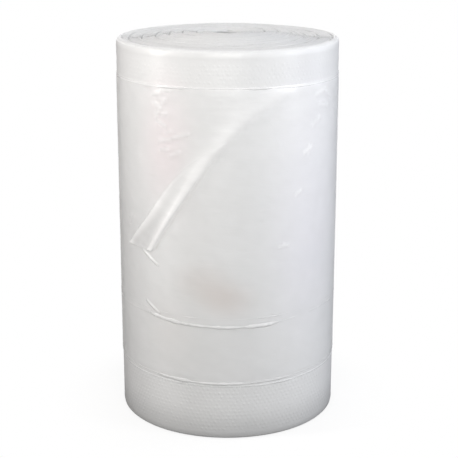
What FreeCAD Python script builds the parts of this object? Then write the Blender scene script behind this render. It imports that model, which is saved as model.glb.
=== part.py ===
"""Roll of small-bubble wrap standing on end.

The bubble film is wound without a core on a spindle, which leaves a round hollow. Its turns are one
solid, drawn as a spiral: the last turn ends in a step at the back, and a spiral groove shows the turns
at both ends. The inner turns have slid up a little, so the top end rises to the middle in terraces and
the bottom end is dished in the same way. A band of clear stretch film holds the turns together. Its
edges are rolled into thin ropes, and its last pass runs down across the front and ends in a gathered
tail.

Sizes are in millimetres. Z is up, the front faces -Y, and the origin is under the middle of the roll.
"""

import FreeCAD, Part
import math
import os

from FreeCAD import Vector

# Wound bubble film
film_width = 1000.0  # width of the film, which is the length of the roll
roll_radius = 288.0  # outside of the last turn
hollow_radius = 38.0  # hollow that the winding spindle leaves
turn_thickness = 3.5  # one turn of film with its bubbles, and so the step at its free end
rim_softness = 12.0  # reach of the soft outer edge at both ends, drawn as two bevels
mouth_bevel = 4.0  # soft edge of the hollow at both ends

# Inner turns that have slid up along the axis
slide_height = 12.0  # how far the innermost turns have slid
slide_start = 60.0  # distance in from the outside where the turns begin to slide
slide_run = 130.0  # distance over which they slide, up to the raised middle

# Spiral groove that shows the turns at both ends
turns_per_groove = 10  # turns between two grooves
groove_width = 3.5
groove_depth = 6.0
groove_lead = 17.0  # distance from the outside to the first groove
groove_margin = 8.0  # distance kept between the last groove and the hollow

# Stretch film
wrap_gap = 0.3  # clearance between the roll and the stretch film
wrap_wall = 0.8  # several layers of thin film and the air between them
wrap_low = 152.0  # height of the band's lower edge
wrap_lap = 312.0  # height of the edge of the pass that overlaps it
wrap_high = 912.0  # height of the band's upper edge
rope_width = 4.0  # film edge rolled into a rope
rope_height = 2.0

# Last pass of the stretch film, as places on the front (across X, height Z)
tail_outer = (-250.0, 492.0)  # outer corner of the tail's torn end
tail_inner = (-199.0, 486.0)  # inner corner of the torn end
neck = (-66.0, 728.0)  # where the tail's gathers run together
crossing = (84.0, 857.0)  # where the diagonal fold passes the middle of its upper run
edge_end = (196.0, wrap_high)  # where the fold runs out at the band's upper edge
fold_width = 10.0  # from the neck to the fold's end
fold_height = 2.2  # the fold stands this far out of the band
tail_rope_width = 9.0  # the tight rope along the tail's lower side
tail_rope_height = 3.6
crease_width = 4.0
crease_height = 1.6
upper_crease = ((-216.0, 483.0), (-174.0, 452.0))
lower_crease = ((-207.0, 348.0), (-175.0, 326.0))

# Worked out from the sizes above
quarter = turn_thickness / 4  # a spiral of two half turns has its centres half a pitch apart
groove_pitch = turns_per_groove * turn_thickness
groove_slope = groove_width / 2 / groove_depth
full_height = film_width + slide_height
bite = 0.3  # how deep a raised fold is sunk into the band, so that they join
overrun = 1.0  # how far a cutting shape passes the surface that it cuts


def half_turn(side, pitch, radius):
    """Centre and radius of the right (side 1) or left (side -1) half of a spiral turn."""
    centre = Vector(-quarter, side * pitch / 4 - quarter, 0)
    return centre, radius if side > 0 else radius - pitch / 2


def slide(depth):
    """How far the turns at this depth below the outside have slid up."""
    share = min(max((depth - slide_start) / slide_run, 0.0), 1.0)
    return slide_height * share**2 * (3 - 2 * share)


def outline_face(places):
    """Flat face from places (distance from the axis, height) in the XZ plane."""
    points = [Vector(distance, 0, height) for distance, height in places]
    return Part.Face(Part.makePolygon(points + points[:1]))


def block(radius, low, high):
    """Flat face from the axis out to a radius, between two heights."""
    return outline_face([(0, low), (radius, low), (radius, high), (0, high)])


def spun_half(face, side, centre):
    """A face of the XZ plane spun through half a turn to the right or left of its centre."""
    start = face.copy()
    start.rotate(Vector(0, 0, 0), Vector(0, 0, 1), -90 if side > 0 else 90)
    start.translate(centre)
    return start.revolve(centre, Vector(0, 0, 1), 180)


def roll_half(side):
    """Right or left half of the wound film, with flat ends and soft rims."""
    centre, wall = half_turn(side, turn_thickness, roll_radius)
    rim = []
    for step in range(3):
        angle = math.radians(45 * step)
        inset = rim_softness * (1 - math.sin(angle))
        drop = rim_softness * (1 - math.cos(angle))
        rim.append((wall - inset, drop))
    top_rim = [(distance, film_width - drop) for distance, drop in reversed(rim)]
    return spun_half(outline_face([(0, 0)] + rim + top_rim + [(0, film_width)]), side, centre)


def grooves():
    """Each half turn of the spiral groove: its side, centre, radius, and how far the turns outside
    it and inside it have slid."""
    found = []
    radius = roll_radius - groove_lead
    while radius > hollow_radius + groove_margin + groove_pitch / 2:
        depth = roll_radius - radius
        outside = slide(depth - groove_pitch / 2)
        inside = slide(depth + groove_pitch / 2)
        for side in (1, -1):
            centre, reach = half_turn(side, groove_pitch, radius)
            found.append((side, centre, reach, outside, inside))
        radius -= groove_pitch
    return found


def groove_cut(side, centre, reach, outside, inside, end):
    """Half turn of the groove at one end: end 1 cuts down into the top, and -1 up into the bottom."""
    rise = inside - outside + groove_depth + overrun
    spread = rise * groove_slope
    if end > 0:
        tip = film_width + outside - groove_depth
    else:
        tip = inside + groove_depth
    mouth = tip + end * rise
    return spun_half(outline_face([(reach - spread, mouth), (reach + spread, mouth), (reach, tip)]), side, centre)


def hollow():
    """The spindle's hollow, widened by a bevel at each end."""
    wide = hollow_radius + mouth_bevel + overrun
    shape = outline_face(
        [
            (0, slide_height - overrun),
            (wide, slide_height - overrun),
            (hollow_radius, slide_height + mouth_bevel),
            (hollow_radius, full_height - mouth_bevel),
            (wide, full_height + overrun),
            (0, full_height + overrun),
        ]
    )
    return shape.revolve(Vector(0, 0, 0), Vector(0, 0, 1), 360)


def wound_bubble_film():
    """The roll of bubble film: all its turns as one solid."""
    raised = []
    sunk = [hollow()]
    for side, centre, reach, outside, inside in grooves():
        if inside > 0:
            raised.append(spun_half(block(reach, film_width / 2, film_width + inside), side, centre))
            sunk.append(spun_half(block(reach, -overrun, inside), side, centre))
        for end in (1, -1):
            sunk.append(groove_cut(side, centre, reach, outside, inside, end))
    roll = roll_half(1).multiFuse([roll_half(-1)] + raised).removeSplitter()
    return roll.cut(sunk).removeSplitter()


def taut_outline(offset):
    """Closed line drawn tight round the roll at this distance, bridging the step at the free end."""
    right, wall = half_turn(1, turn_thickness, roll_radius)
    left, left_wall = half_turn(-1, turn_thickness, roll_radius)
    reach = wall + offset
    left_reach = left_wall + offset
    front = right + Vector(0, -reach, 0)
    ridge = right + Vector(0, reach, 0)
    turn = math.acos(left_reach / (ridge.y - left.y))
    landing = left + Vector(-left_reach * math.sin(turn), left_reach * math.cos(turn), 0)
    return Part.Wire(
        [
            Part.Arc(front, right + Vector(reach, 0, 0), ridge).toShape(),
            Part.LineSegment(ridge, landing).toShape(),
            Part.Arc(landing, left + Vector(-left_reach, 0, 0), front).toShape(),
        ]
    )


def ring(inner, outer, low, high):
    """A ring round the roll between two distances from it and two heights."""
    faces = [Part.Face(taut_outline(offset)) for offset in (outer, inner)]
    for face in faces:
        face.translate(Vector(0, 0, low))
    outside, inside = (face.extrude(Vector(0, 0, high - low)) for face in faces)
    return outside.cut(inside)


def rope(height):
    """An edge of the stretch film rolled into a rope round the band."""
    surface = wrap_gap + wrap_wall
    return ring(surface - bite, surface + rope_height, height - rope_width / 2, height + rope_width / 2)


def smooth_edge(places):
    """A smooth edge through places on the front."""
    curve = Part.BSplineCurve()
    curve.interpolate([Vector(x, 0, z) for x, z in places])
    return curve.toShape()


def straight_edge(start, end):
    """A straight edge between two places on the front."""
    return Part.LineSegment(Vector(start[0], 0, start[1]), Vector(end[0], 0, end[1])).toShape()


def raised_patch(outline, height):
    """A fold of film: an outline seen from the front, laid on the band and raised by this height."""
    prism = Part.Face(outline).extrude(Vector(0, -2 * roll_radius, 0))
    surface = wrap_gap + wrap_wall
    return ring(surface - bite, surface + height, wrap_low, wrap_high).common(prism)


def strip(start, end, width):
    """Outline of a straight strip between two places on the front."""
    first = Vector(start[0], 0, start[1])
    last = Vector(end[0], 0, end[1])
    across = (last - first).cross(Vector(0, 1, 0)).normalize() * (width / 2)
    return Part.makePolygon([first + across, first - across, last - across, last + across, first + across])


def diagonal_fold():
    """Outline of the fold: a gathered tail that narrows to a neck and runs up to the band's edge."""
    half = fold_width / 2
    upper = [
        tail_outer,
        (neck[0] - half, neck[1] + half),
        (crossing[0] - half, crossing[1] + half),
        (edge_end[0] - fold_width, edge_end[1]),
    ]
    lower = [
        edge_end,
        (crossing[0] + half, crossing[1] - half),
        (neck[0] + half, neck[1] - half),
        tail_inner,
    ]
    return Part.Wire(
        [
            smooth_edge(upper),
            straight_edge(upper[3], edge_end),
            smooth_edge(lower),
            straight_edge(tail_inner, tail_outer),
        ]
    )


def tail_folds():
    """The diagonal fold, the tight rope along its tail, and two creases that the tail pulls."""
    return [
        raised_patch(diagonal_fold(), fold_height),
        raised_patch(strip(tail_inner, neck, tail_rope_width), tail_rope_height),
        raised_patch(strip(*upper_crease, crease_width), crease_height),
        raised_patch(strip(*lower_crease, crease_width), crease_height),
    ]


def stretch_wrap():
    """The band of stretch film with its rolled edges and the tail of its last pass."""
    band = ring(wrap_gap, wrap_gap + wrap_wall, wrap_low, wrap_high)
    ropes = [rope(height) for height in (wrap_low, wrap_lap, wrap_high)]
    return band.multiFuse(ropes + tail_folds()).removeSplitter()


def save(name, shape):
    """Checks that a piece is one sound solid and writes its file."""
    if len(shape.Solids) != 1 or not shape.isValid():
        raise RuntimeError(f"{name} has {len(shape.Solids)} solids, valid: {shape.isValid()}")
    piece = shape.Solids[0]
    piece.exportStep(f"parts/{name}.step")
    box = piece.optimalBoundingBox(False)
    print(f"{name}: {piece.Volume / 1e6:.3f} litres, {len(piece.Faces)} faces")
    print(f"  x {box.XMin:.1f} {box.XMax:.1f}  y {box.YMin:.1f} {box.YMax:.1f}  z {box.ZMin:.1f} {box.ZMax:.1f}")


os.makedirs("parts", exist_ok=True)
save("wound_bubble_film", wound_bubble_film())
save("stretch_wrap", stretch_wrap())
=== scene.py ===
"""Looks of a wide roll of small-bubble wrap that stands on end, held by a band of stretch film.

The outer turn of milky film carries rows of low bubbles. Both ends show the edges of all the turns,
which run in one spiral from the free edge at the back to the spindle's hollow. The band is a clear,
slightly wrinkled film with rolled edges. Its last pass leaves a soft diagonal swell across the front,
which ends in a gathered tail.

Sizes are in metres. Angles run from the front, -Y, towards the right, +X.
"""

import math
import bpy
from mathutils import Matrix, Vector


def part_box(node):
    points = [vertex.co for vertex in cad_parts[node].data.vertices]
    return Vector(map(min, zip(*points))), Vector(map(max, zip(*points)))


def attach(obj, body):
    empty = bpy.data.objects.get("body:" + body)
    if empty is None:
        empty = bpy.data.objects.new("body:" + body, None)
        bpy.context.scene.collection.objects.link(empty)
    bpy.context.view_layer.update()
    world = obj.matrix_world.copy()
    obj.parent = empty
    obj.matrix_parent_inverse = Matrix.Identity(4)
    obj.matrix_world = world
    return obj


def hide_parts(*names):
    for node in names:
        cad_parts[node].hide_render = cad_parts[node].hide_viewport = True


bl_info = {
    "name": "Bubble wrap roll",
    "version": (1, 0, 0),
    "blender": (4, 5, 0),
    "location": "3D View > Sidebar > Roll",
    "description": "Builds a wide roll of bubble wrap held by a band of stretch film",
    "category": "Add Mesh",
}

import bpy
import numpy as np
from bpy.props import FloatProperty, FloatVectorProperty, PointerProperty
from mathutils import Vector

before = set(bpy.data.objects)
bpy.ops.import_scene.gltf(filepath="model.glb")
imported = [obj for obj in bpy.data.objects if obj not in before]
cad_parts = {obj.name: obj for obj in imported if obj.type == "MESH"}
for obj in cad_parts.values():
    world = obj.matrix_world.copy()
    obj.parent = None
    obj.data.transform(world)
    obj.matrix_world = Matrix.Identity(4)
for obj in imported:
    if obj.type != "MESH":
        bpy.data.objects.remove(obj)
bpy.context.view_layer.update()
ROLL_LOW, ROLL_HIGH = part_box("wound_bubble_film")
BAND_LOW, BAND_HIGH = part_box("stretch_wrap")
ROLL_RADIUS = (ROLL_HIGH.y - ROLL_LOW.y) / 2

# Casts in the milky film as place, reach along each axis and change of colour, each laid over the
# ones before it: a painted highlight at the left, painted shade at the upper right that tones down
# a lamp's gloss there, cool at the right and rosy at the upper left
FILM_CASTS_AND_PAINTED_LIGHT = (
    # painted highlight: the film made lighter at the left
    ((-0.155, -0.240, 0.460), (0.085, 0.3, 0.60), (1.10, 1.10, 1.10)),
    # painted shade: the film made darker at the upper right
    ((0.190, -0.215, 0.955), (0.110, 0.3, 0.10), (0.86, 0.86, 0.86)),
    ((0.200, -0.200, 0.580), (0.150, 0.3, 0.48), (0.985, 0.97, 1.035)),
    ((-0.150, -0.250, 0.760), (0.100, 0.2, 0.24), (1.11, 1.0, 1.02)),
)
# Warm spots low on the front as place, reach along each axis and strength, and their colour's change
WARM_SPOTS = (
    ((-0.060, -0.29, 0.420), (0.11, 0.2, 0.075), 0.65),
    ((-0.002, -0.29, 0.378), (0.10, 0.2, 0.065), 0.90),
    ((-0.150, -0.25, 0.290), (0.09, 0.2, 0.170), 0.22),
)
WARM_CHANGE = (0.86, 0.77, 0.72)
ALL_ROUND = 9  # a reach across the roll that takes in all of it

# Profile of one turn's edge from its outside to its inside, as share across and share of its height
EDGE_PROFILE = ((0.0, 0.0), (0.32, 1.0), (0.68, 0.85), (1.0, 0.0))
# Loose gaps between the turns, which the grooves in both ends show
TURNS_PER_GAP = 10
GAP_LEAD = 0.017  # distance from the outside to the first gap
GAP_ROUNDS = 6  # rounds of the gap's spiral
GAP_REACH = 0.0030  # distance over which a gap fades on each side

# Edges of the gathered tail as (degrees to the right, height), read off the photographed roll
TAIL_OUTER_EDGE = (
    (-61.5, 0.489), (-54.0, 0.527), (-47.2, 0.562), (-41.0, 0.600), (-35.3, 0.637),
    (-28.6, 0.677), (-21.0, 0.713), (-11.5, 0.749), (-0.4, 0.785),
)
TAIL_INNER_EDGE = (
    (-41.2, 0.486), (-36.5, 0.522), (-31.9, 0.557), (-27.3, 0.590), (-22.7, 0.624),
    (-18.0, 0.659), (-13.5, 0.692), (-7.5, 0.732), (-0.4, 0.774),
)
# The line that the diagonal swell follows
SWELL_LINE = (
    (-40.3, 0.486), (-35.4, 0.527), (-29.3, 0.573), (-22.3, 0.625), (-17.3, 0.662), (-13.0, 0.694),
    (-7.0, 0.737), (0.4, 0.778), (7.2, 0.813), (16.5, 0.852), (29.0, 0.884), (43.7, 0.918),
)
# Creases beside the tail as start, end, width, height and how strongly they show, which also
# paints each crease's highlight
CREASES = (
    ((-48.5, 0.486), (-36.7, 0.451), 0.0100, 0.0011, 1.0),
    ((-46.0, 0.351), (-36.5, 0.325), 0.0100, 0.0009, 0.75),
)
# Soft crinkles in the band itself as start, end, half width and strength
CRINKLES = (
    ((-35.0, 0.774), (-29.0, 0.780), 0.0060, 0.6),
    ((-27.5, 0.785), (-19.0, 0.798), 0.0042, 0.7),
    ((-34.0, 0.752), (-30.0, 0.757), 0.0060, 0.6),
    ((-29.0, 0.741), (-24.0, 0.752), 0.0055, 0.5),
    ((-38.5, 0.888), (-35.0, 0.893), 0.0055, 0.7),
    ((-34.0, 0.899), (-28.5, 0.902), 0.0050, 0.6),
    ((-37.5, 0.866), (-34.5, 0.858), 0.0070, 0.7),
    ((-33.0, 0.869), (-31.0, 0.878), 0.0050, 0.5),
    ((-37.0, 0.838), (-35.5, 0.848), 0.0070, 0.6),
    ((-33.5, 0.841), (-30.5, 0.845), 0.0060, 0.5),
    ((-36.0, 0.822), (-32.0, 0.812), 0.0055, 0.6),
    ((-31.0, 0.795), (-28.0, 0.801), 0.0055, 0.4),
    ((26.5, 0.510), (31.5, 0.511), 0.0035, 0.7),
    ((29.0, 0.516), (31.0, 0.512), 0.0035, 0.4),
    ((41.0, 0.740), (46.0, 0.753), 0.0042, 0.7),
    ((43.6, 0.738), (44.4, 0.757), 0.0042, 0.5),
    ((36.0, 0.638), (39.0, 0.645), 0.0040, 0.6),
    ((49.0, 0.880), (57.0, 0.890), 0.0050, 0.7),
    ((57.0, 0.890), (63.0, 0.868), 0.0050, 0.6),
    ((52.0, 0.855), (60.0, 0.846), 0.0050, 0.5),
    ((47.0, 0.806), (52.0, 0.822), 0.0055, 0.4),
    ((-60.0, 0.545), (-57.5, 0.557), 0.0085, 0.5),
    ((95.0, 0.760), (112.0, 0.800), 0.0070, 0.7),
    ((104.0, 0.560), (118.0, 0.545), 0.0070, 0.5),
    ((-118.0, 0.700), (-104.0, 0.735), 0.0070, 0.6),
    ((-150.0, 0.420), (-136.0, 0.445), 0.0070, 0.5),
    ((150.0, 0.640), (163.0, 0.690), 0.0070, 0.6),
)
CRINKLE_HEIGHT = 0.0008
# Rolled edges as name, height, rise at the sides, thickness, how strongly the whole ring shows, and
# the stretches that stand out as start, end and strength; on the front these stretches are also a
# painted highlight where the lamps' gloss falls along the edges
ROLLED_EDGES = (
    (
        "upper_edge", BAND_HIGH.z - 0.004, -0.004, 0.0010, 0.06,
        ((-40, -16, 0.55), (6, 24, 0.75), (20, 44, 0.35), (95, 150, 0.5), (-150, -100, 0.5)),
    ),
    (
        "lap_edge", 0.3065, 0.013, 0.0014, 0.10,
        ((-46, -20, 1.0), (-28, 10, 0.75), (6, 28, 1.0), (60, 120, 0.5), (-130, -70, 0.5)),
    ),
    (
        "lap_edge_second", 0.328, 0.005, 0.0009, 0.03,
        ((-26, -13, 0.45), (14, 31, 0.45), (75, 120, 0.5), (-150, -95, 0.5)),
    ),
    (
        "lower_edge", BAND_LOW.z + 0.004, 0.006, 0.0013, 0.10,
        ((-40, -16, 0.85), (-18, 12, 0.65), (12, 36, 0.5), (70, 130, 0.5), (-140, -70, 0.5)),
    ),
    (
        "lower_edge_second", BAND_LOW.z - 0.004, 0.002, 0.0008, 0.03,
        ((-31, -21, 0.35), (-5, 4, 0.35), (12, 40, 0.45), (100, 160, 0.4)),
    ),
)
SIDE_DEGREES = 42  # where a rolled edge has its full rise
ROPE_DEPTH = 0.55  # factors on the depth and the height of a rolled edge's tube
ROPE_HEIGHT = 3.6

FLOOR_SIZE = 60
FLOOR_SEEN = 0.9  # the floor's grey level to the camera
FLOOR_THROWN = 0.13  # its grey level to all other light
WHITE = (1, 1, 1, 1)


class RollSettings(bpy.types.PropertyGroup):
    turn: FloatProperty(
        name="Turn", description="Thickness of one turn of film", default=0.0035, unit="LENGTH"
    )
    slide: FloatProperty(
        name="Slide", description="How far the innermost turns have slid up", default=0.012, unit="LENGTH"
    )
    slide_start: FloatProperty(
        name="Slide start",
        description="Distance in from the outside where the turns begin to slide",
        default=0.060,
        unit="LENGTH",
    )
    slide_run: FloatProperty(
        name="Slide run", description="Distance over which the turns slide", default=0.130, unit="LENGTH"
    )
    hollow: FloatProperty(
        name="Hollow", description="Radius of the spindle's hollow", default=0.038, unit="LENGTH"
    )
    mouth: FloatProperty(
        name="Mouth", description="Soft edge of the hollow at both ends", default=0.004, unit="LENGTH"
    )
    rim: FloatProperty(
        name="Rim", description="Reach of the soft outer edge", default=0.012, unit="LENGTH"
    )
    ripple: FloatProperty(
        name="Ripple", description="Unevenness of the outer turn", default=0.0006, unit="LENGTH"
    )
    bubble_pitch: FloatProperty(
        name="Bubble pitch", description="Distance between bubbles", default=0.0115, unit="LENGTH"
    )
    bubble_radius: FloatProperty(
        name="Bubble radius", description="Radius of a bubble", default=0.0047, unit="LENGTH"
    )
    bubble_rise: FloatProperty(
        name="Bubble rise",
        description="How far a bubble stands out of the film",
        default=0.0005,
        unit="LENGTH",
    )
    edge_step: FloatProperty(
        name="Edge step",
        description="Distance between places along the turns' edges",
        default=0.0062,
        unit="LENGTH",
    )
    edge_crest: FloatProperty(
        name="Edge crest",
        description="How far a turn's edge stands above the gap beside it",
        default=0.004,
        unit="LENGTH",
    )
    edge_uneven: FloatProperty(
        name="Edge unevenness",
        description="How far neighbouring turns' edges differ",
        default=0.0011,
        unit="LENGTH",
    )
    loose_gap: FloatProperty(
        name="Loose gap", description="Depth of the gap after every tenth turn", default=0.0045, unit="LENGTH"
    )
    colour: FloatVectorProperty(
        name="Film colour",
        description="Colour of many turns of clear film",
        default=(0.794, 0.800, 0.804),
        size=3,
        subtype="COLOR",
    )
    edge_colour: FloatVectorProperty(
        name="Edge colour",
        description="Colour of the turns' cut edges",
        default=(0.74, 0.745, 0.75),
        size=3,
        subtype="COLOR",
    )


class BandSettings(bpy.types.PropertyGroup):
    gap: FloatProperty(
        name="Gap", description="Distance from the outer turn to the film", default=0.0012, unit="LENGTH"
    )
    ripple: FloatProperty(
        name="Ripple", description="Height of the film's wrinkles", default=0.0006, unit="LENGTH"
    )
    swell: FloatProperty(
        name="Swell", description="Height of the last pass's diagonal swell", default=0.0014, unit="LENGTH"
    )
    tail: FloatProperty(
        name="Tail", description="Height of the tight rope along the tail", default=0.0014, unit="LENGTH"
    )
    opacity: FloatProperty(
        name="Opacity", description="How much of the film shows", default=0.45, subtype="FACTOR"
    )
    colour: FloatVectorProperty(
        name="Film colour",
        description="Colour of the stretch film",
        default=(0.98, 0.985, 0.99),
        size=3,
        subtype="COLOR",
    )


class StageSettings(bpy.types.PropertyGroup):
    camera_distance: FloatProperty(
        name="Camera distance",
        description="Distance of the camera in front of the roll",
        default=3.2448,
        unit="LENGTH",
    )
    camera_height: FloatProperty(
        name="Camera height", description="Height of the camera", default=1.416, unit="LENGTH"
    )
    camera_shift: FloatProperty(
        name="Camera offset",
        description="How far the camera stands to the right",
        default=0.0036,
        unit="LENGTH",
    )
    camera_pitch: FloatProperty(
        name="Camera pitch",
        description="How far the camera looks down",
        default=math.radians(16.07),
        subtype="ANGLE",
    )
    lens: FloatProperty(
        name="Lens", description="Focal length for a 36 mm sensor", default=98.65, unit="CAMERA"
    )
    fill: FloatProperty(
        name="Fill", description="Strength of the even light from all round", default=0.25
    )


class Wire:
    """A shader value. Python's operators on it add the Math nodes that work them out."""

    def __init__(self, finish, socket):
        self.finish = finish
        self.socket = socket

    def _math(self, operation, *values):
        return self.finish.node("ShaderNodeMath", {"operation": operation}, values)

    def __add__(self, other):
        return self._math("ADD", self, other)

    def __sub__(self, other):
        return self._math("SUBTRACT", self, other)

    def __rsub__(self, other):
        return self._math("SUBTRACT", other, self)

    def __mul__(self, other):
        return self._math("MULTIPLY", self, other)

    __radd__ = __add__
    __rmul__ = __mul__

    def between(self, low, high):
        """Kept within two limits."""
        return self._math("MINIMUM", self._math("MAXIMUM", self, low), high)

    def over(self, low, high):
        """0 below low, 1 above high, and smooth between."""
        share = ((self - low) * (1 / (high - low))).between(0.0, 1.0)
        return share * share * (3 - 2 * share)


class Finish:
    """A material or a world under construction."""

    def __init__(self, owner):
        self.owner = owner
        owner.use_nodes = True
        self.tree = owner.node_tree
        self.tree.nodes.clear()

    def node(self, kind, settings=None, values=(), output=0):
        """Adds a node, sets it, fills its inputs in order or by name, and gives back one output."""
        made = self.tree.nodes.new(kind)
        for key, value in (settings or {}).items():
            setattr(made, key, value)
        pairs = values.items() if isinstance(values, dict) else enumerate(values)
        for key, value in pairs:
            if isinstance(value, Wire):
                self.tree.links.new(value.socket, made.inputs[key])
            else:
                made.inputs[key].default_value = value
        return Wire(self, made.outputs[output]) if len(made.outputs) else None

    def own(self):
        """The piece's own places."""
        return self.node("ShaderNodeTexCoord", output="Object")

    def places(self, stretch=(1, 1, 1), shift=(0, 0, 0)):
        """The piece's own places, stretched so that a pattern comes out long or short."""
        sockets = {"Vector": self.own(), "Location": shift, "Scale": stretch}
        return self.node("ShaderNodeMapping", None, sockets)

    def length(self, vector):
        """How long a vector is."""
        return self.node("ShaderNodeVectorMath", {"operation": "LENGTH"}, {0: vector}, output="Value")

    def clouds(self, size, detail, stretch=(1, 1, 1)):
        """Soft noise about 0.5 whose blotches are about this large."""
        return self.node(
            "ShaderNodeTexNoise",
            None,
            {"Vector": self.places(stretch), "Scale": 1 / size, "Detail": detail, "Roughness": 0.5},
        )

    def near(self, place, reach):
        """1 at a place, falling to 0 at this reach along each axis."""
        stretch = tuple(1 / distance for distance in reach)
        shift = tuple(-spot / distance for spot, distance in zip(place, reach))
        return 1 - self.length(self.places(stretch, shift)).over(0.0, 1.0)

    def painted(self, name):
        """A value that the mesh carries at its points."""
        return self.node("ShaderNodeAttribute", {"attribute_name": name}, output="Fac")

    def blend(self, share, first, second):
        """A colour that goes from the first to the second."""
        return self.node("ShaderNodeMix", {"data_type": "RGBA"}, {0: share, 6: first, 7: second}, output=2)

    def bump(self, height, distance, strength):
        """Fine relief of this height."""
        return self.node(
            "ShaderNodeBump", None, {"Strength": strength, "Distance": distance, "Height": height}
        )

    def plastic(self, sockets):
        """Closes a material with a glossy surface."""
        return self.close(self.node("ShaderNodeBsdfPrincipled", None, sockets))

    def close(self, shader, kind="ShaderNodeOutputMaterial"):
        """Ends the material or the world with this shader."""
        self.node(kind, None, {"Surface": shader})
        return self.owner


def tint(colour, change):
    """A colour whose channels are made lighter or darker, with full opacity."""
    return tuple(channel * factor for channel, factor in zip(colour, change)) + (1.0,)


def shade(colour, factor):
    """A colour made lighter or darker, with full opacity."""
    return tint(colour, (factor, factor, factor))


def milky_film(colour):
    """Many turns of clear bubble film seen together: milky, soft and faintly mottled, with soft
    casts, a painted highlight at the left, painted shade at the upper right and in patches along the
    rim where it breaks up the rim's highlight, and painted shade that darkens it towards the floor."""
    finish = Finish(bpy.data.materials.new("milky_bubble_film"))
    mottle = finish.clouds(0.16, 3.0, (1, 1, 0.5))
    fine = finish.clouds(0.012, 2.0)
    tone = finish.blend(mottle * 0.7 + fine * 0.3, shade(colour, 0.94), shade(colour, 1.06))
    # Painted shade: patches along the top rim made darker, which breaks up the rim's highlight
    rim = finish.near((0, 0, ROLL_HIGH.z - 0.014), (ALL_ROUND, ALL_ROUND, 0.03))
    tone = finish.blend(rim * mottle.over(0.36, 0.56) * 0.6, tone, shade(colour, 0.86))
    # Casts laid over the film, with a painted highlight and painted shade among them
    for place, reach, change in FILM_CASTS_AND_PAINTED_LIGHT:
        tone = finish.blend(finish.near(place, reach), tone, tint(colour, change))
    warm = sum(finish.near(place, reach) * strength for place, reach, strength in WARM_SPOTS)
    tone = finish.blend(warm.between(0.0, 1.0), tone, tint(colour, WARM_CHANGE))
    # Painted shade: the film's colour made darker towards the floor
    painted_floor_shade = finish.near((0, 0, -0.02), (ALL_ROUND, ALL_ROUND, 0.12))
    return finish.plastic(
        {
            "Base Color": finish.blend(painted_floor_shade * 0.75, tone, shade(colour, 0.55)),
            "Roughness": 0.30 + fine * 0.16,
            "Normal": finish.bump(fine * 0.5 + mottle, 0.003, 0.25),
            "Specular IOR Level": 0.5,
            "Coat Weight": 0.15,
            "Coat Roughness": 0.25,
        }
    )


def cut_edges(colour):
    """Edges of the turns: pale along each edge, and darker with painted shade in the gaps between them
    and down the hollow.
    """
    finish = Finish(bpy.data.materials.new("cut_film_edges"))
    fine = finish.clouds(0.006, 2.0)
    patches = finish.clouds(0.09, 2.0)
    crest = finish.painted("crest") * (0.75 + fine * 0.3 + patches * 0.2)
    return finish.plastic(
        {
            # Painted shade: where the crest is low, in the gaps and down the hollow, the colour is darker
            "Base Color": finish.blend(crest, shade(colour, 0.72), shade(colour, 1.04)),
            "Roughness": 0.36 + fine * 0.2,
            "Normal": finish.bump(fine, 0.002, 0.4),
        }
    )


def clear_film(name, colour, opacity, roughness):
    """Stretch film: clear and glossy, with fine tension lines that run round the roll. How much of
    it shows at each point is painted on the mesh."""
    finish = Finish(bpy.data.materials.new(name))
    lines = finish.clouds(0.06, 3.0, (1, 1, 6))
    patches = finish.clouds(0.12, 2.0)
    crinkled = finish.clouds(0.02, 3.0, (1, 1, 1.8))
    shown = opacity * (0.87 + patches * 0.26) * finish.painted("shown")
    return finish.plastic(
        {
            "Base Color": finish.blend(patches, shade(colour, 0.98), shade(colour, 1.02)),
            "Roughness": roughness + patches * 0.14,
            "Alpha": shown.between(0.0, 1.0),
            "Normal": finish.bump(lines * 0.6 + crinkled * 0.4, 0.003, 0.3),
            "Specular IOR Level": 0.5,
            "Coat Weight": 0.25,
            "Coat Roughness": 0.2,
        }
    )


def deselect():
    """Leaves edit mode and selects nothing."""
    if bpy.context.object and bpy.context.object.mode != "OBJECT":
        bpy.ops.object.mode_set(mode="OBJECT")
    bpy.ops.object.select_all(action="DESELECT")


def get_places(piece):
    """Places of all of a mesh's points as an array."""
    flat = np.empty(len(piece.data.vertices) * 3)
    piece.data.vertices.foreach_get("co", flat)
    return flat.reshape(-1, 3)


def set_places(piece, places):
    """Moves all of a mesh's points."""
    piece.data.vertices.foreach_set("co", np.ascontiguousarray(places, dtype=float).ravel())
    piece.data.update()


def paint(piece, name, values):
    """Gives each point of a mesh a value that its material reads."""
    layer = piece.data.attributes.new(name, "FLOAT", "POINT")
    layer.data.foreach_set("value", np.broadcast_to(np.asarray(values, dtype=float), len(layer.data)).copy())


def flat_grid(name, columns, rows):
    """A flat grid to be shaped, with each point's share across and share up."""
    deselect()
    bpy.ops.mesh.primitive_grid_add(x_subdivisions=columns, y_subdivisions=rows, size=1)
    piece = bpy.context.object
    piece.name = piece.data.name = name
    places = get_places(piece)
    return piece, places[:, 0] + 0.5, places[:, 1] + 0.5


def close_seam(piece):
    """Joins the edges of a sheet that meet."""
    bpy.ops.object.mode_set(mode="EDIT")
    bpy.ops.mesh.select_all(action="SELECT")
    bpy.ops.mesh.remove_doubles(threshold=1e-5)
    bpy.ops.object.mode_set(mode="OBJECT")


def dress(piece, material, replaced=None):
    """Smooths a piece, gives it its material and joins it to the roll."""
    deselect()
    piece.select_set(True)
    bpy.context.view_layer.objects.active = piece
    bpy.ops.object.shade_smooth()
    piece.data.materials.clear()
    piece.data.materials.append(material)
    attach(piece, "root")
    if replaced:
        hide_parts(replaced)


def fade(value, low, high):
    """0 below low, 1 above high, and smooth between."""
    share = np.clip((value - low) / (high - low), 0, 1)
    return share * share * (3 - 2 * share)


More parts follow.
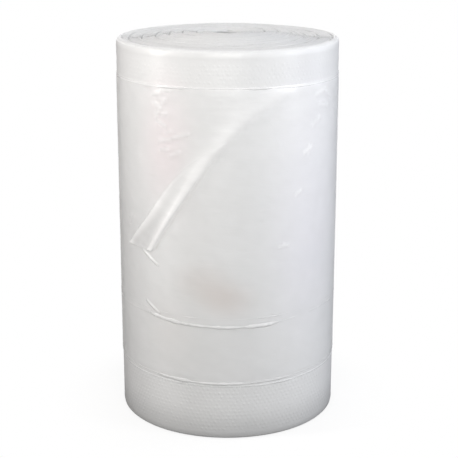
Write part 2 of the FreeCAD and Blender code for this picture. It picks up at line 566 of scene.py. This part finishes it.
def smooth_line(points, share):
    """Places along a smooth line through some points."""
    points = np.array(points, dtype=float)
    ends = np.vstack([2 * points[0] - points[1], points, 2 * points[-1] - points[-2]])
    where = np.clip(share, 0, 1) * (len(points) - 1)
    first = np.minimum(where.astype(int), len(points) - 2)
    t = (where - first)[:, None]
    a, b, c, d = (ends[first + step] for step in range(4))
    return 0.5 * (2 * b + (c - a) * t + (2 * a - 5 * b + 4 * c - d) * t**2 + (3 * b - a - 3 * c + d) * t**3)


def waves(angle, height, rounds, lengths, seed):
    """Smooth unevenness between about -1 and 1: waves that run so many times round the roll, and
    have these lengths up it."""
    chance = np.random.default_rng(seed)
    total = np.zeros(np.broadcast(angle, height).shape)
    for turns, length in zip(rounds, lengths):
        lean, phase = chance.uniform(0, 2 * math.pi, 2)
        climb = height * 2 * math.pi / length + phase
        total += np.sin(turns * angle + lean + np.sin(climb))
        total += np.cos(turns * 0.5 * np.sin(angle) + height * 2 * math.pi / length + phase)
    return total / (2 * len(rounds))


def random_round(chance, degrees, low, high, count, last):
    """Random values between two limits at even places round the roll, and straight between them."""
    places = np.linspace(-180, 180, count + 1)
    return np.interp(degrees, places, np.r_[chance.uniform(low, high, count), last])


def round_the_roll(roll, angle, reach, height):
    """Places on a turn: the right half and the left half have their own centres, so that each
    turn ends one film thickness inside where it began, at the back."""
    quarter = roll.turn / 4
    left = angle < 0
    centre_y = np.where(left, -2 * quarter, 0.0)
    radius = np.where(left, reach - 2 * quarter, reach)
    across = radius * np.sin(angle) - quarter
    return np.stack([across, centre_y - radius * np.cos(angle), height + 0 * angle], axis=-1)


def taut(roll, angle, reach):
    """Reach of film drawn tight round the roll, which bridges the step at the back."""
    quarter = roll.turn / 4
    left_reach = reach - 2 * quarter
    turn = np.arccos(left_reach / (reach + 2 * quarter))
    short = np.clip(-math.pi + turn - angle, 0, None)
    return left_reach / np.cos(short) + 2 * quarter


def slid(roll, depth):
    """How far the turns at this depth have slid up."""
    share = np.clip((depth - roll.slide_start) / roll.slide_run, 0, 1)
    return roll.slide * share**2 * (3 - 2 * share)


def rim_drop(roll, depth):
    """How far the soft rim lies below the end at this depth."""
    inset = np.clip(roll.rim - depth, 0, roll.rim)
    return roll.rim - np.sqrt(roll.rim**2 - inset**2)


def loose_gaps(roll, places):
    """How near each place is to a loose gap, from 0 to 1."""
    quarter = roll.turn / 4
    pitch = TURNS_PER_GAP * roll.turn
    side = np.where(places[:, 0] < -quarter, -1, 1)
    out = np.hypot(places[:, 0] + quarter, places[:, 1] - side * pitch / 4 + quarter)
    first = ROLL_RADIUS - GAP_LEAD - np.where(side < 0, pitch / 2, 0.0)
    away = np.abs(np.mod(first - out + pitch / 2, pitch) - pitch / 2)
    inside = (out < first + pitch / 2) & (out > first - (GAP_ROUNDS - 0.5) * pitch)
    return np.where(inside, np.clip(1.2 - away / GAP_REACH, 0, 1), 0.0)


def outer_ripple(roll, angle, height):
    """Unevenness of the outer turn, never outside the roll's own radius."""
    return roll.ripple * (waves(angle, height, (3, 7, 12, 19), (0.9, 0.4, 0.23, 0.12), 4) - 1)


def swell(degrees, height):
    """The band's diagonal swell: narrow at the tail and wide at the upper end, steep on its lower
    right side. Also gives the distance from that side's line."""
    line = np.array(SWELL_LINE)
    share = np.clip((height - line[0, 1]) / (line[-1, 1] - line[0, 1]), 0, 1)
    middle = np.interp(height, line[:, 1], line[:, 0])
    steep = np.diff(line[:, 1]) / (np.radians(np.diff(line[:, 0])) * ROLL_RADIUS)
    slope = np.interp(height, (line[1:, 1] + line[:-1, 1]) / 2, steep)
    away = np.radians(degrees - middle) * ROLL_RADIUS * slope / np.hypot(1, slope)
    width = 0.009 + 0.030 * share
    across = away / width + 0.55
    narrowing = np.where(across > 0, 1.5, 0.75)
    start = fade(height, line[0, 1] - 0.01, line[0, 1] + 0.02)
    return np.exp(-((across * narrowing) ** 2)) * start * (1 - 0.4 * share), away


def crinkles(degrees, height):
    """How strongly the film is crinkled, from 0 to about 1."""
    total = np.zeros(np.broadcast(degrees, height).shape)
    for start, end, width, strength in CRINKLES:
        run = np.array([math.radians(end[0] - start[0]) * ROLL_RADIUS, end[1] - start[1]])
        right = np.radians(degrees - start[0]) * ROLL_RADIUS
        up = height - start[1]
        share = np.clip((right * run[0] + up * run[1]) / (run @ run), 0, 1)
        away = np.hypot(right - share * run[0], up - share * run[1])
        total = np.maximum(total, strength * np.exp(-((away / width) ** 2)))
    return total


def from_band_edge(height):
    """Distance from the nearer edge of the band."""
    return np.minimum(height - BAND_LOW.z, BAND_HIGH.z - height)


def band_reach(roll, band, angle, height):
    """Reach of the band's film: taut round the roll, finely wrinkled, and raised along the swell
    and the crinkles. Its edges lie flat, and nearer to the roll."""
    calm = fade(from_band_edge(height), 0.002, 0.022)
    wrinkles = band.ripple * waves(angle + height * 1.4, height, (5, 11, 23, 37), (0.7, 0.31, 0.11, 0.05), 8)
    crest, _ = swell(np.degrees(angle), height)
    raised = band.swell * crest + CRINKLE_HEIGHT * crinkles(np.degrees(angle), height)
    return taut(roll, angle, ROLL_RADIUS + band.gap * (0.4 + 0.6 * calm)) + (wrinkles + raised) * calm


def band_shown(degrees, height):
    """How strongly the band's film shows: more along the swell and in the crinkles, where the film is
    gathered and a painted highlight brightens it, at its edges and where the last pass lies over the
    one before it."""
    crest, away = swell(degrees, height)
    lapped = fade(away, -0.02, 0.05) * (1 - fade(degrees, 60, 110)) * fade(height, 0.45, 0.62)
    edge = 1 - fade(from_band_edge(height), 0.002, 0.012)
    # Painted highlight in part: the swell and the crinkles show more so that they look brighter
    return 1 + 1.4 * crest + 0.25 * lapped + 0.9 * crinkles(degrees, height) + 0.4 * edge


class ROLL_OT_outer_turn(bpy.types.Operator):
    """Add the outer turn of bubble film"""

    bl_idname = "roll.outer_turn"
    bl_label = "Outer turn"

    def execute(self, context):
        roll = context.scene.roll
        width = ROLL_HIGH.z - roll.slide
        columns = 300
        piece, across, up = flat_grid("outer_turn", columns, 132)
        column = np.rint(across * columns)
        angle = (np.minimum(column / (columns - 1), 1) - 0.5) * 2 * math.pi
        step = np.where(column > columns - 0.5, roll.turn, 0.0)
        edge = roll.rim - math.sqrt(roll.rim**2 - (roll.rim - roll.turn / 2) ** 2)
        height = edge + up * (width - 2 * edge)
        from_end = np.minimum(height, width - height)
        inset = roll.rim - np.sqrt(roll.rim**2 - np.clip(roll.rim - from_end, 0, None) ** 2)
        calm = fade(from_end, 0, 0.03) * fade(math.pi - np.abs(angle), 0, 0.05)
        ripple = outer_ripple(roll, angle, height) * calm
        set_places(piece, round_the_roll(roll, angle, ROLL_RADIUS - inset + ripple - step, height))
        close_seam(piece)
        dress(piece, milky_film(roll.colour), "wound_bubble_film")
        return {"FINISHED"}


class ROLL_OT_bubbles(bpy.types.Operator):
    """Add the rows of low bubbles that show through the outer turn"""

    bl_idname = "roll.bubbles"
    bl_label = "Bubbles"

    def bubble(self, roll):
        """One bubble: a low dome of a few faces, raised ring by ring."""
        deselect()
        bpy.ops.mesh.primitive_circle_add(vertices=8, radius=roll.bubble_radius, fill_type="TRIFAN")
        piece = bpy.context.object
        bpy.ops.object.mode_set(mode="EDIT")
        bpy.ops.mesh.select_all(action="SELECT")
        bpy.ops.mesh.inset(thickness=roll.bubble_radius * 0.28)
        bpy.ops.transform.translate(value=(0, 0, roll.bubble_rise * 0.75))
        bpy.ops.object.mode_set(mode="OBJECT")
        places = get_places(piece)
        middle = np.argmin(np.hypot(places[:, 0], places[:, 1]))
        places[middle, 2] = roll.bubble_rise
        faces = [tuple(face.vertices) for face in piece.data.polygons]
        bpy.data.objects.remove(piece)
        return places, faces

    def execute(self, context):
        roll = context.scene.roll
        width = ROLL_HIGH.z - roll.slide
        dome, faces = self.bubble(roll)
        row_pitch = roll.bubble_pitch * math.sqrt(0.75)
        rows = int((width - 2 * roll.rim - roll.bubble_pitch) / row_pitch)
        columns = int(2 * math.pi * ROLL_RADIUS / roll.bubble_pitch)
        row, column = np.divmod(np.arange(rows * columns), columns)
        angle = ((column + 0.5 * (row % 2) + 0.25) / columns - 0.5) * 2 * math.pi
        height = roll.rim + roll.bubble_pitch / 2 + row * row_pitch
        pressed = np.random.default_rng(11).uniform(0.3, 1.0, len(angle))
        pressed *= np.where(height < BAND_LOW.z, 0.85, 0.5)
        clear_of_step = math.pi - np.abs(angle) > roll.bubble_pitch / 2 / ROLL_RADIUS
        for name, side in (("bubbles_right", angle >= 0), ("bubbles_left", angle < 0)):
            chosen = side & clear_of_step
            self.copy_bubbles(roll, name, dome, faces, angle[chosen], height[chosen], pressed[chosen])
        return {"FINISHED"}

    def copy_bubbles(self, roll, name, dome, faces, angle, height, pressed):
        """A dome at each place, turned to face outwards, with its foot just inside the film."""
        out = np.stack([np.sin(angle), -np.cos(angle), 0 * angle], axis=-1)[:, None, :]
        side = np.stack([np.cos(angle), np.sin(angle), 0 * angle], axis=-1)[:, None, :]
        foot = ROLL_RADIUS + outer_ripple(roll, angle, height) - 0.0001
        base = round_the_roll(roll, angle, foot, height)[:, None, :]
        rise = dome[None, :, 2, None] * pressed[:, None, None]
        bend = (dome[:, 0] ** 2 / (2 * ROLL_RADIUS))[None, :, None]
        places = base + side * dome[None, :, 0, None] + out * (rise - bend)
        places[:, :, 2] += dome[None, :, 1]
        mesh = bpy.data.meshes.new(name)
        count = len(dome)
        mesh.from_pydata(
            places.reshape(-1, 3).tolist(),
            [],
            [tuple(corner + copy * count for corner in face) for copy in range(len(angle)) for face in faces],
        )
        piece = bpy.data.objects.new(name, mesh)
        bpy.context.collection.objects.link(piece)
        dress(piece, bpy.data.materials["milky_bubble_film"])


class ROLL_OT_ends(bpy.types.Operator):
    """Add the edges of all the turns at both ends, and the wall of the hollow"""

    bl_idname = "roll.ends"
    bl_label = "Turn edges"

    def spiral(self, roll):
        """Angle swept from the free edge to each of many even places along the whole spiral."""
        length = math.pi * (ROLL_RADIUS**2 - roll.hollow**2) / roll.turn
        run = np.linspace(0, length, int(length / roll.edge_step))
        inside = np.sqrt(np.clip(ROLL_RADIUS**2 - roll.turn * run / math.pi, roll.hollow**2, None))
        return (ROLL_RADIUS - inside) * 2 * math.pi / roll.turn

    def unevenness(self, roll, swept, angle, seed):
        """How high the edge stands at each place, about 0: each turn has a height of its own, with slow
        waves and a rough cut."""
        rounds = swept / (2 * math.pi)
        chance = np.random.default_rng(seed)
        turns = int(swept[-1] / (2 * math.pi)) + 3
        per_turn = np.cumsum(chance.normal(0, 1, turns)) * 0.35 + chance.normal(0, 0.6, turns)
        shift = np.interp(rounds, np.arange(turns), per_turn - per_turn.mean())
        in_turns = 0.15 * swept / (2 * math.pi) * roll.turn
        wave = waves(angle, in_turns, (2, 3, 5, 9), (0.02, 0.013, 0.009, 0.006), seed)
        cut = chance.uniform(-1, 1, len(swept))
        return shift + wave + cut * 0.4

    def edges(self, roll, name, top, seed):
        """One end: a ridge for each turn, along the whole spiral."""
        width = ROLL_HIGH.z - roll.slide
        swept = self.spiral(roll)
        half = np.floor(swept / math.pi)
        right = half % 2 == 0
        angle = np.where(right, 1, -1) * np.abs(math.pi - np.mod(swept, 2 * math.pi))
        differs = self.unevenness(roll, swept, angle, seed)
        outside = np.floor(swept / (2 * math.pi))
        passed = outside + fade(swept / (2 * math.pi) - outside, 0.93, 1.0)
        half_out = np.where(right, 0, roll.turn / 2)
        columns = []
        pale = []
        for share, ridge in EDGE_PROFILE:
            across = np.where(outside < 1, 0.5 + share / 2, share)
            outermost = (outside < 1) & (across < 0.6)
            depth = np.where(outermost, roll.turn / 2, roll.turn * (passed + across))
            crest = ridge + (1 - ridge) * 0.8 * (1 - fade(depth, 0.006, 0.035))
            crest = np.where(outermost, 1.0, crest)
            reach = ROLL_RADIUS - roll.turn / 2 * half - roll.turn * across + half_out
            uneven = roll.edge_uneven * differs * fade(depth, roll.turn / 2, 0.02)
            mouth = np.clip(roll.mouth - (ROLL_RADIUS - roll.hollow - depth), 0, roll.mouth)
            places = round_the_roll(roll, angle, reach, 0)
            gap = rim_drop(roll, depth) + mouth + roll.edge_crest * (1 - crest)
            gap = gap + roll.loose_gap * loose_gaps(roll, places)
            if top:
                places[:, 2] = width + slid(roll, depth) + uneven - gap
            else:
                places[:, 2] = slid(roll, depth) + np.abs(uneven) + gap
            columns.append(places)
            pale.append(crest)
        last_along = len(swept) - 1
        last_over = len(columns) - 1
        piece, along, over = flat_grid(name, last_along, last_over)
        order_along = np.rint(along * last_along).astype(int)
        order_over = np.rint(over * last_over).astype(int)
        if top:
            order_over = last_over - order_over
        set_places(piece, np.stack(columns, axis=1)[order_along, order_over])
        # The crest also sets the edges' colour: a low crest paints shade into the gaps between turns
        paint(piece, "crest", np.stack(pale, axis=1)[order_along, order_over])
        return piece

    def hollow_wall(self, roll):
        """The innermost turn, seen down the hollow, with the film's inner edge. Its colour is made dark
        with painted shade, but for its two ends."""
        columns = 90
        piece, across, up = flat_grid("hollow_wall", columns, 60)
        column = np.rint(across * columns)
        angle = (0.5 - np.minimum(column / (columns - 1), 1)) * 2 * math.pi
        low = roll.slide + roll.mouth
        height = low + up * (ROLL_HIGH.z - roll.mouth - low)
        bulge = waves(angle, height, (2, 3, 5, 8), (0.5, 0.3, 0.2, 0.1), 17)
        ripple = 0.0008 * bulge * fade(np.minimum(up, 1 - up), 0, 0.03)
        lip = 0.0012 * (1 - fade(column / columns, 0.0, 0.12)) * np.where(column > columns - 0.5, 0, 1)
        reach = roll.hollow + ripple * fade(math.pi - np.abs(angle), 0, 0.2) - lip
        set_places(piece, np.stack([reach * np.sin(angle), -reach * np.cos(angle), height], axis=-1))
        # Painted shade: the wall's colour is dark but for its two ends
        paint(piece, "crest", 0.7 * fade(np.abs(up - 0.5), 0.47, 0.5) - 0.5)
        close_seam(piece)
        return piece

    def execute(self, context):
        roll = context.scene.roll
        material = cut_edges(roll.edge_colour)
        dress(self.edges(roll, "top_turn_edges", True, 21), material)
        dress(self.edges(roll, "bottom_turn_edges", False, 22), material)
        dress(self.hollow_wall(roll), material)
        return {"FINISHED"}


class ROLL_OT_band(bpy.types.Operator):
    """Add the band of stretch film and its rolled edges"""

    bl_idname = "roll.band"
    bl_label = "Stretch film band"

    def film(self, roll, band):
        """The band: fine wrinkles all over, and the swell across the front, where its columns lie
        closer together."""
        low = BAND_LOW.z + 0.002
        high = BAND_HIGH.z - 0.002
        piece, across, up = flat_grid("stretch_band", 440, 190)
        degrees = np.interp(across, (0, 0.2, 0.8, 1), (-180, -65, 65, 180))
        angle = np.radians(degrees)
        height = low + up * (high - low)
        set_places(piece, round_the_roll(roll, angle, band_reach(roll, band, angle, height), height))
        paint(piece, "shown", band_shown(degrees, height))
        close_seam(piece)
        return piece

    def rope(self, name, band, roll, height, rise, thickness, faint, stretches, seed):
        """A rolled edge round the band, which stands out in some stretches and is faint in others."""
        deselect()
        surface = ROLL_RADIUS + band.gap
        bpy.ops.mesh.primitive_torus_add(
            major_segments=256, minor_segments=8, major_radius=surface, minor_radius=thickness
        )
        piece = bpy.context.object
        piece.name = piece.data.name = name
        places = get_places(piece)
        angle = np.arctan2(places[:, 0], -places[:, 1])
        degrees = np.degrees(angle)
        out = np.hypot(places[:, 0], places[:, 1]) - surface
        chance = np.random.default_rng(seed)
        grain = random_round(chance, degrees, 0.7, 1.25, 160, 1.0)
        streak = random_round(chance, degrees, 0.65, 1.0, 240, 0.8)
        shown = np.full(len(angle), faint)
        for start, end, strength in stretches:
            begun = strength * fade(degrees, start, start + 7)
            shown = np.maximum(shown, begun * (1 - fade(degrees, end - 7, end)))
        wander = 0.0010 * waves(angle, 0 * angle, (4, 9, 17, 31), (1, 1, 1, 1), seed)
        level = height + rise * np.clip(np.abs(degrees) / SIDE_DEGREES, 0, 1) ** 2 + wander
        firm = 0.15 + 0.85 * shown
        reach = taut(roll, angle, surface) + out * grain * firm * ROPE_DEPTH
        level = level + places[:, 2] * grain * firm * ROPE_HEIGHT
        set_places(piece, round_the_roll(roll, angle, reach, level))
        outside = np.clip(out / thickness, 0, 1)
        # Painted highlight in part: the stretches on the front show more where the lamps' gloss falls
        paint(piece, "shown", band.opacity + (1 - band.opacity) * shown * streak * outside)
        return piece

    def execute(self, context):
        roll = context.scene.roll
        band = context.scene.band
        clear = clear_film("clear_stretch_film", band.colour, band.opacity, 0.24)
        dress(self.film(roll, band), clear, "stretch_wrap")
        rolled = clear_film("rolled_film_edge", band.colour, 1.0, 0.2)
        for seed, (name, *form) in enumerate(ROLLED_EDGES, 31):
            dress(self.rope(name, band, roll, *form, seed), rolled)
        return {"FINISHED"}


class ROLL_OT_folds(bpy.types.Operator):
    """Add the gathered tail of the last pass and the creases beside it"""

    bl_idname = "roll.folds"
    bl_label = "Folds and creases"

    def ribbon(self, name, roll, band, first_edge, second_edge, columns, rows, shape):
        """A raised ribbon of film between two edges on the band. It never shows less than the band
        under it."""
        surface = ROLL_RADIUS + band.gap
        piece, across, along = flat_grid(name, columns, rows)
        first = smooth_line(first_edge, along)
        second = smooth_line(second_edge, along)
        where = first + (second - first) * across[:, None]
        span = np.hypot(np.radians(second[:, 0] - first[:, 0]) * surface, second[:, 1] - first[:, 1])
        rise, shown = shape(across, along, span)
        angle = np.radians(where[:, 0])
        clear = 0.0004 * fade(np.minimum(across, 1 - across), 0, 0.5)
        reach = band_reach(roll, band, angle, where[:, 1]) + 0.0001 + clear + rise
        set_places(piece, round_the_roll(roll, angle, reach, where[:, 1]))
        least = np.minimum(band.opacity * band_shown(where[:, 0], where[:, 1]), 1)
        paint(piece, "shown", least + (1 - least) * shown)
        return piece

    def tail(self, roll, band):
        """The tail: a tight rope along its right side, a lifted fold along its left side, and
        gathers between them that run together at the neck."""
        fold_in = 0.010
        fold_rise = 0.0022
        gather_rise = 0.0003
        torn_rise = 0.0008

        def shape(across, along, span):
            right = (1 - across) * span
            left = across * span
            upper = 1 - fade(along, 0.4, 1.0)
            broad = 0.0100 - 0.0025 * fade(along, 0.0, 0.2) + 0.008 * fade(along, 0.3, 1.0)
            rope = np.exp(-(np.abs((right - broad) / (0.85 * broad)) ** 3))
            fold_reach = np.where(left < fold_in, 0.006, 0.020)
            fold = np.exp(-(((left - fold_in) / fold_reach) ** 2)) * (1 - fade(along, 0.35, 0.85))
            gathers = 0.5 + 0.5 * np.cos(2 * math.pi * (2.2 * across + 0.4 * along))
            gathers = gathers * (1 - fade(along, 0.1, 0.5))
            edges = fade(np.minimum(left, right), 0, 0.003)
            lift = torn_rise * (1 - fade(along, 0, 0.03))
            tip = 1 - fade(along, 0.70, 0.97)
            rise = band.tail * rope * (0.25 + 0.75 * upper) + fold_rise * fold + gather_rise * gathers + lift
            # Painted highlight in part: the rope and the fold show more, so that they look bright
            shown = (rope * (0.2 + 0.8 * upper) + fold + 0.2 * gathers) * edges
            return rise * edges * tip, shown * tip

        return self.ribbon("gathered_tail", roll, band, TAIL_OUTER_EDGE, TAIL_INNER_EDGE, 36, 220, shape)

    def crease(self, name, roll, band, start, end, wide, tall, strength):
        """A crease, rounded across and fading at its ends."""
        surface = ROLL_RADIUS + band.gap
        run = np.array([math.radians(end[0] - start[0]) * surface, end[1] - start[1]])
        away = np.array([-run[1], run[0]]) / np.hypot(*run) * wide / 2
        away[0] = math.degrees(away[0] / surface)
        sides = [[tuple(np.array(place) + away * way) for place in (start, end)] for way in (1, -1)]

        def shape(across, along, span):
            form = np.sin(math.pi * across) * np.sqrt(np.clip(np.sin(math.pi * along), 0, 1))
            # Painted highlight in part: the crease shows more along its middle
            return tall * form, strength * form

        return self.ribbon(name, roll, band, *sides, 8, 24, shape)

    def execute(self, context):
        roll = context.scene.roll
        band = context.scene.band
        gathered = clear_film("gathered_film", band.colour, 1.0, 0.18)
        dress(self.tail(roll, band), gathered)
        for number, crease in enumerate(CREASES, 1):
            dress(self.crease(f"crease_{number}", roll, band, *crease), gathered)
        return {"FINISHED"}


class ROLL_OT_stage(bpy.types.Operator):
    """Add the floor, the lamps, the world and the camera"""

    bl_idname = "roll.stage"
    bl_label = "Stage"

    def floor(self):
        """Pale floor that looks white to the camera and keeps the roll's shadow."""
        deselect()
        bpy.ops.mesh.primitive_plane_add(size=FLOOR_SIZE)
        floor = bpy.context.object
        floor.name = "floor"
        finish = Finish(bpy.data.materials.new("pale_floor"))
        ray = finish.node("ShaderNodeLightPath", output="Is Camera Ray")
        seen = finish.blend(ray, shade((1, 1, 1), FLOOR_THROWN), shade((1, 1, 1), FLOOR_SEEN))
        pale = finish.node("ShaderNodeBsdfDiffuse", None, {"Color": seen})
        white = finish.node("ShaderNodeEmission", None, {"Color": WHITE, "Strength": 1.0})
        share = (0.84 + finish.length(finish.own()).over(0.31, 0.5) * 0.16) * ray
        mixed = finish.node("ShaderNodeMixShader", None, {0: share, 1: pale, 2: white})
        floor.data.materials.append(finish.close(mixed))

    def world(self, strength):
        """Even light, and white wherever the camera or a reflection looks past the roll."""
        finish = Finish(bpy.data.worlds.new("white_room"))
        camera, glossy, through = (
            finish.node("ShaderNodeLightPath", output=f"Is {kind} Ray")
            for kind in ("Camera", "Glossy", "Transmission")
        )
        even = finish.node("ShaderNodeBackground", None, {"Color": WHITE, "Strength": strength})
        white = finish.node("ShaderNodeBackground", None, {"Color": WHITE, "Strength": 1.0})
        seen = (camera + glossy + through).between(0.0, 1.0)
        mixed = finish.node("ShaderNodeMixShader", None, {0: seen, 1: even, 2: white})
        bpy.context.scene.world = finish.close(mixed, "ShaderNodeOutputWorld")

    def lamp(self, name, degrees, distance, height, wide, tall, power, colour, aim):
        """A soft box that faces the roll."""
        deselect()
        angle = math.radians(degrees)
        place = Vector((distance * math.sin(angle), -distance * math.cos(angle), height))
        bpy.ops.object.light_add(type="AREA", location=place)
        lamp = bpy.context.object
        lamp.name = name
        lamp.rotation_euler = (Vector((0, 0, aim)) - place).to_track_quat("-Z", "Y").to_euler()
        lamp.data.shape = "RECTANGLE"
        lamp.data.size = wide
        lamp.data.size_y = tall
        lamp.data.energy = power
        lamp.data.color = colour

    def camera(self, stage):
        """The camera, at the photograph's angle."""
        deselect()
        bpy.ops.object.camera_add(
            location=(stage.camera_shift, -stage.camera_distance, stage.camera_height),
            rotation=(math.pi / 2 - stage.camera_pitch, 0, 0),
        )
        camera = bpy.context.object
        camera.data.sensor_width = 36
        camera.data.lens = stage.lens
        bpy.context.scene.camera = camera

    def execute(self, context):
        stage = context.scene.stage
        self.floor()
        self.world(stage.fill)
        self.lamp("front_high", 5, 2.0, 2.4, 1.4, 1.0, 12.0, (1.0, 0.98, 0.97), 0.75)
        self.lamp("front_mid", 0, 2.6, 1.3, 1.6, 0.8, 28.0, (1.0, 0.985, 0.95), 0.7)
        self.lamp("left_strip", -70, 1.7, 1.45, 0.25, 1.5, 19.0, (1.0, 0.96, 0.93), 0.75)
        self.lamp("right_box", 64, 2.0, 1.3, 0.7, 1.4, 18.5, (0.92, 0.94, 1.0), 0.55)
        self.lamp("right_side", 95, 1.8, 1.3, 0.8, 1.4, 9.0, (0.90, 0.93, 1.0), 0.55)
        self.lamp("back_mid", 180, 2.6, 1.0, 1.6, 1.0, 9.0, (1.0, 1.0, 1.0), 0.6)
        self.lamp("back_high", 180, 1.6, 2.6, 1.6, 0.8, 15.0, (1.0, 1.0, 1.0), 0.9)
        self.camera(stage)
        context.scene.view_settings.view_transform = "Standard"
        return {"FINISHED"}


class ROLL_PT_panel(bpy.types.Panel):
    """Shows a button for each step and the settings"""

    bl_idname = "ROLL_PT_panel"
    bl_label = "Bubble wrap roll"
    bl_space_type = "VIEW_3D"
    bl_region_type = "UI"
    bl_category = "Roll"

    def draw(self, context):
        for operator in OPERATORS:
            self.layout.operator(operator.bl_idname)
        for settings in (context.scene.roll, context.scene.band, context.scene.stage):
            box = self.layout.box()
            for name in settings.bl_rna.properties.keys():
                if name not in ("rna_type", "name"):
                    box.prop(settings, name)


OPERATORS = (
    ROLL_OT_outer_turn,
    ROLL_OT_bubbles,
    ROLL_OT_ends,
    ROLL_OT_band,
    ROLL_OT_folds,
    ROLL_OT_stage,
)
CLASSES = (RollSettings, BandSettings, StageSettings) + OPERATORS + (ROLL_PT_panel,)


def register():
    for cls in CLASSES:
        bpy.utils.register_class(cls)
    bpy.types.Scene.roll = PointerProperty(type=RollSettings)
    bpy.types.Scene.band = PointerProperty(type=BandSettings)
    bpy.types.Scene.stage = PointerProperty(type=StageSettings)


def unregister():
    del bpy.types.Scene.stage
    del bpy.types.Scene.band
    del bpy.types.Scene.roll
    for cls in reversed(CLASSES):
        bpy.utils.unregister_class(cls)


def main():
    register()
    bpy.ops.roll.outer_turn()
    bpy.ops.roll.bubbles()
    bpy.ops.roll.ends()
    bpy.ops.roll.band()
    bpy.ops.roll.folds()
    bpy.ops.roll.stage()


if __name__ == "__main__":
    main()
